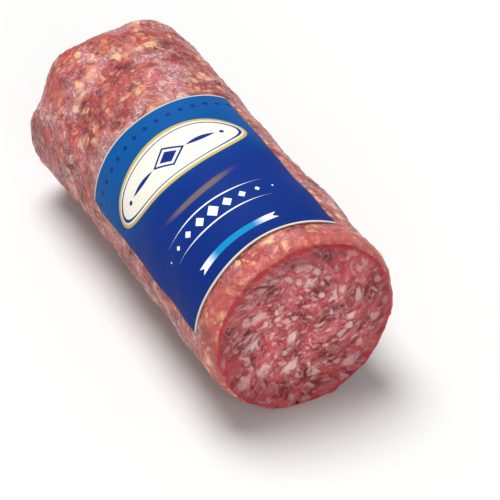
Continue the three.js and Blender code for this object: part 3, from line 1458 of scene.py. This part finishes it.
    def relief_height(self, bench: Bench, place: Signal) -> Signal:
        """Works out the fine relief of the skin and the cut, with the skin pressed flat under the label.

        Args:
            bench: The bench of the geometry nodes.
            place: Position, in millimetres.

        Returns:
            The height, in millimetres.
        """
        skin, gathered, covered = stored_vector(bench, ZONE).parts()
        turned = stirred(place, bench.between(skin, self.cut.stir, 0.0), self.axis_height)
        spread = bench.between(skin, self.cut.spread, self.skin.spread)
        softness = bench.between(skin, self.cut.softness, self.skin.softness)
        grain = GRAIN.place(bench, TreeUse.GEOMETRY, Place=turned, Spread=spread, Softness=softness)
        crinkle = CRINKLE.place(bench, TreeUse.GEOMETRY, Place=place)

        dents = bench.noise(place + (9.0, 0.0, 3.0), self.dents) * 3.0 - 1.5
        on_skin = bench.noise(place, self.lumps) * 1.5 - 0.9 + dents * place.parts()[1].eased(0.0, 25.0)
        on_skin = on_skin + crinkle["Fold"].eased(0.55, 1.0) * 0.3
        on_skin = on_skin + (crinkle["Crest"].eased(0.6, 1.0) * 0.16 + grain["Fat"] * 0.14)
        on_skin = on_skin * (gathered * -0.75 + 1.0)
        on_skin = bench.between(covered, on_skin, on_skin * 0.1 - 0.12)

        out = from_axis(place, self.axis_height) + (bench.noise(place, self.lip_edge) * 2.0 - 1.0)
        lip = out.eased(self.rim_radius - 2.4, self.rim_radius - 0.9, 0.0, 0.5)
        lip = lip * (bench.noise(place, self.lip_lumps) * 1.4 + 0.2)
        on_cut = bench.noise(place, self.cut_waves) * 0.7 - 0.35 + lip
        on_cut = on_cut + grain["Fat"] * 0.1 + grain["Fibre"] * 0.12 - grain["Pit"] * 0.5
        return bench.between(skin, on_cut, on_skin)

    def press_relief(self, made: Object) -> None:
        """Moves the surface by its fine relief, and keeps the result as the object's mesh.

        Args:
            made: The sausage.
        """
        tree = bpy.data.node_groups.new("Fine relief", "GeometryNodeTree")
        for side in ("INPUT", "OUTPUT"):
            tree.interface.new_socket(name="Geometry", in_out=side, socket_type="NodeSocketGeometry")
        bench = Bench(tree)
        entry = bench.add("NodeGroupInput")
        height = self.relief_height(bench, stored_vector(bench, REST) * PER_METRE)
        offset = stored_vector(bench, PUSH) * (height * MM)
        x, y, z = (bench.result("GeometryNodeInputPosition", {}) + offset).parts()
        inputs = {"Geometry": entry.outputs[0], "Position": bench.joined(x, y, z.most(0.0))}
        result = bench.add("GeometryNodeSetPosition", inputs)
        bench.add("NodeGroupOutput", {"Geometry": result.outputs[0]})

        modifier = made.modifiers.new("Fine relief", "NODES")
        modifier.node_group = tree
        scene_graph = bpy.context.evaluated_depsgraph_get()
        pressed = bpy.data.meshes.new_from_object(made.evaluated_get(scene_graph))
        made.modifiers.clear()
        made.data = pressed


@dataclass
class LabelSheet:
    """The printed paper, in millimetres and degrees: a thin sheet on the upper side of the sausage."""

    start: float = 11.2
    length: float = 82.2
    middle: float = -28.5
    spread: float = 119.0
    thickness: float = 0.16
    clearance: float = 0.05
    across_cells: int = 80
    along_cells: int = 92
    lift_reach: float = 3.5
    lift_height: float = 0.4

    print_area: tuple[float, float] = (0.01, 0.71)  # where a part starts across the flat map, and its width
    back_area: tuple[float, float] = (0.94, -0.2)
    edge_area: tuple[float, float] = (0.95, 0.008)
    edge_pitch: float = 0.011
    map_rise: tuple[float, float] = (0.01, 0.98)  # where every part starts up the flat map, and its height
    print_finish: LabelPrint = field(default_factory=LabelPrint)

    def height(self, angle: Array, along: Array, body: SausageBody) -> Array:
        """Works out how far the paper's underside lies out from the sausage's plain round shape.

        Args:
            angle: Degrees round from the top.
            along: Distance from the cut face.
            body: The sausage that it lies on.

        Returns:
            The height at each place.
        """
        ripple = 0.05 * np.sin(along / 5.3 + 0.09 * angle) + 0.04 * np.sin(along / 2.9 - 0.13 * angle + 1.0)
        loose = np.clip(1.0 - (along - self.start) / self.lift_reach, 0.0, 1.0) ** 2
        bridge = 0.55 + 0.45 * np.cos(np.radians((angle - self.middle - 8.0) * 3.0))
        lift = self.clearance + np.maximum(ripple, -0.04) + self.lift_height * loose * bridge
        return body.swell(angle, along) + lift

    def build(self, body: SausageBody) -> Object:
        """Makes the finished label.

        Args:
            body: The sausage that it lies on.

        Returns:
            The object, with its material on it.
        """
        from_middle = np.linspace(0.0, 1.0, self.across_cells + 1) - 0.5
        down = self.length * np.linspace(0.0, 1.0, self.along_cells + 1)
        along, angle = np.meshgrid(self.start + down, self.middle + self.spread * from_middle, indexing="ij")
        under = self.height(angle, along, body)
        top = body.place(along, body.radius + under + self.thickness, angle)
        bottom = body.place(along, body.radius + under, angle)
        across = np.broadcast_to(np.radians(self.spread) * body.radius * from_middle, under.shape)
        flat = np.stack([across, along - self.start, np.ones_like(under)], axis=-1)

        grid = np.arange(under.size).reshape(under.shape)
        below = grid + under.size
        upper = quads(grid[:-1, :-1], grid[:-1, 1:], grid[1:, 1:], grid[1:, :-1])
        lower = quads(below[:-1, :-1], below[1:, :-1], below[1:, 1:], below[:-1, 1:])
        loop = np.concatenate([grid[0, :-1], grid[:-1, -1], grid[-1, :0:-1], grid[:0:-1, 0]])
        ahead = np.roll(loop, -1)
        rim = quads(ahead, loop, loop + under.size, ahead + under.size)
        made = make_object("paper_label", rows(top, bottom), [upper, lower, rim])
        carry(made, PRINT, rows(flat, flat * (1.0, 1.0, 0.0)))
        self.bake_map(made, upper, lower)
        smooth = np.arange(len(made.data.polygons)) < len(upper) + len(lower)
        made.data.polygons.foreach_set("use_smooth", smooth)
        made.data.materials.append(self.print_finish.material())
        return made

    def bake_map(self, made: Object, upper: Array, lower: Array) -> None:
        """Lays the sheet out flat: its printed side large, its back narrower, then its four edges.

        Args:
            made: The label.
            upper: The faces of its printed side.
            lower: The faces of its back.
        """
        low, span = self.map_rise
        columns = self.across_cells + 1
        parts = []
        for faces, (start, width) in ((upper, self.print_area), (lower, self.back_area)):
            row, column = np.divmod(faces.ravel() % (columns * (self.along_cells + 1)), columns)
            across = start + width * column / self.across_cells
            parts.append(np.stack([across, low + span * row / self.along_cells], axis=1))
        for edge in range(4):
            cells = (self.across_cells, self.along_cells)[edge % 2]
            left = np.full(cells, self.edge_area[0] + self.edge_pitch * edge)
            right = left + self.edge_area[1]
            near, far = (low + span * (np.arange(cells) + end) / cells for end in (0, 1))
            corners = np.stack([left, far, left, near, right, near, right, far], axis=-1)
            parts.append(corners.reshape(-1, 2))
        lay_flat(made, np.concatenate(parts))


@dataclass
class EndClip:
    """The metal clip, in millimetres: a flat wire bent right round the neck, its two legs meeting below."""

    width: float = 11.0
    height: float = 10.2
    bore: float = 3.7
    depth: float = 3.2
    edge: float = 0.55
    seam: float = 0.35  # half the gap between the legs
    turns: int = 96
    corner_steps: int = 5
    squareness: float = 3.2
    lean: float = 0.25  # how far the wire leans along the sausage, as a crimped clip does
    dent: float = 0.12
    finish: ClipMetal = field(default_factory=ClipMetal)

    def section(self) -> Array:
        """Draws the wire's section.

        Returns:
            A row for each point: 1 on the outer side, distance along, and how far the edge's round is out.
        """
        corners = []
        half = self.depth / 2
        for quarter, (out, along) in enumerate(((1.0, 1.0), (0.0, 1.0), (0.0, -1.0), (1.0, -1.0))):
            for step in np.linspace(0.0, math.pi / 2, self.corner_steps):
                turn = quarter * math.pi / 2 + step
                place = along * (half - self.edge) + self.edge * math.sin(turn)
                corners.append((out, place, math.cos(turn)))
        return np.array(corners)

    def build(self, along: float, body: SausageBody) -> Object:
        """Makes the finished clip.

        Args:
            along: Distance of its middle from the cut face.
            body: The sausage that it closes.

        Returns:
            The object, with its material on it.
        """
        gap = math.asin(self.seam / self.bore)
        turn = np.linspace(math.pi + gap, 3 * math.pi - gap, self.turns)
        way = np.stack([np.sin(turn), np.cos(turn)], axis=1)
        square = (np.abs(way) ** self.squareness).sum(axis=1, keepdims=True) ** (-1.0 / self.squareness)
        outer = square * way * (self.width / 2, self.height / 2)
        inner = way * self.bore
        wall = np.linalg.norm(outer - inner, axis=1)[:, None]
        outward = (outer - inner) / wall
        on_outside, y, edge_round = self.section().T[:, None, :]
        from_inner = np.where(on_outside > 0.5, wall - self.edge, self.edge) + self.edge * edge_round
        across = inner[:, None, :] + outward[:, None, :] * from_inner[..., None]
        dent = self.dent * np.cos(turn * 9.0)[:, None] * (on_outside > 0.5)
        y = along + y + self.lean * np.sin(turn)[:, None]
        x, z = across[..., 0] * (1 + dent / self.width), across[..., 1] + body.axis_height
        points = np.stack([x, y + body.cut_place, z], axis=-1)

        index = np.arange(y.size).reshape(y.shape)
        turned = np.roll(index, -1, axis=1)
        sides = quads(index[:-1], index[1:], turned[1:], turned[:-1])
        made = make_object("clip_wire", points.reshape(-1, 3) * MM, [sides, index[:1], index[-1:, ::-1]])
        made.data.materials.append(self.finish.material())
        return made


@dataclass
class Studio:
    """A pale table, soft light and the camera, all in metres and degrees."""

    azimuth: float = -26.52
    elevation: float = 36.74
    distance: float = 1.0
    lens: float = 214.7
    clip: tuple[float, float] = (0.05, 50.0)
    aim_along: float = 0.0455  # from the cut face
    aim_side: float = 0.0029
    aim_height: float = 0.0319
    table_size: float = 12.0
    room_colour: Colour = (1.0, 1.0, 1.0)
    room_light: float = 0.27
    room_white: float = 0.985
    key_way: Triple = (-0.06, 0.33, 1.05)
    key_strength: float = 1.06
    key_softness: float = 34.0
    fill_way: Triple = (-0.35, -1.1, 0.45)
    fill_strength: float = 0.47
    fill_softness: float = 50.0

    def table(self) -> None:
        """Makes the pale table that the sausage rests on."""
        corners = np.array([[-1.0, -1.0, 0.0], [1.0, -1.0, 0.0], [1.0, 1.0, 0.0], [-1.0, 1.0, 0.0]])
        made = make_object("table", corners * self.table_size / 2, [np.array([[0, 1, 2, 3]])])
        made.data.materials.append(PaleTop().material())

    def soft_light(self, name: str, way: Vector, strength: float, softness: float) -> None:
        """Adds a broad light that reaches the whole table evenly.

        Args:
            name: Its name.
            way: Direction from the table towards it.
            strength: How bright it makes a white surface that faces it.
            softness: Its width as seen from the table, in degrees.
        """
        lamp = bpy.data.lights.new(name, "SUN")
        lamp.energy = strength * math.pi
        lamp.angle = math.radians(softness)
        made = bpy.data.objects.new(name, lamp)
        made.location = way
        made.rotation_euler = way.to_track_quat("Z", "Y").to_euler()
        bpy.context.scene.collection.objects.link(made)

    def light(self) -> None:
        """Lights the table: one broad light from above, a softer one from the front, and a pale room."""
        self.soft_light("key", Vector(self.key_way), self.key_strength, self.key_softness)
        self.soft_light("fill", Vector(self.fill_way), self.fill_strength, self.fill_softness)
        world = bpy.data.worlds.new("pale room")
        world.use_nodes = True
        bench = Bench(world.node_tree)
        room = world.node_tree.nodes["Background"]
        set_constants(room, {"Strength": self.room_light})
        backdrop = bench.add("ShaderNodeBackground", {"Strength": self.room_white})
        seen = bench.add("ShaderNodeLightPath").outputs["Is Camera Ray"]
        for background in (room, backdrop):
            bench.feed(background.inputs["Color"], self.room_colour)
        mixed = bench.add("ShaderNodeMixShader", {0: seen, 1: room.outputs[0], 2: backdrop.outputs[0]})
        bench.feed(world.node_tree.nodes["World Output"].inputs["Surface"], mixed.outputs[0])
        bpy.context.scene.world = world

    def camera(self, low: Vector) -> None:
        """Sets up the camera, looking down on the cut end from the front left.

        Args:
            low: The object's lowest corner, where the cut face is.
        """
        turn, rise = math.radians(self.azimuth), math.radians(self.elevation)
        back = Vector((math.sin(turn) * math.cos(rise), -math.cos(turn) * math.cos(rise), math.sin(rise)))
        aim = Vector((self.aim_side, low.y + self.aim_along, self.aim_height))
        data = bpy.data.cameras.new("camera")
        data.lens = self.lens
        data.clip_start, data.clip_end = self.clip
        made = bpy.data.objects.new("camera", data)
        made.location = aim + back * self.distance
        made.rotation_mode = "QUATERNION"
        made.rotation_quaternion = back.to_track_quat("Z", "Y")
        bpy.context.scene.collection.objects.link(made)
        bpy.context.scene.camera = made


def main() -> None:
    """Builds the sausage, its label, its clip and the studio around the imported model."""
    logging.basicConfig(level=logging.INFO, format="%(name)s: %(message)s")
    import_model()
    cad_low, cad_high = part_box("sausage")
    clip_low, clip_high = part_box("end_clip")

    body = SausageBody(length=(cad_high.y - cad_low.y) * PER_METRE)
    meat = body.build()
    label = LabelSheet().build(body)
    clip = EndClip().build((clip_low.y + clip_high.y) / 2 * PER_METRE - body.cut_place, body)
    for piece, node, slot in ((meat, "sausage", "cured_meat"), (label, "label", "printed_paper"),
                              (clip, "end_clip", "clip_metal")):
        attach(piece, "root")
        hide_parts(node)
        LOG.info("%s: %d faces", piece.name, len(piece.data.polygons))

    studio = Studio()
    studio.table()
    studio.light()
    studio.camera(cad_low)
    bpy.context.scene.view_settings.view_transform = "Standard"


if __name__ == "__main__":
    main()
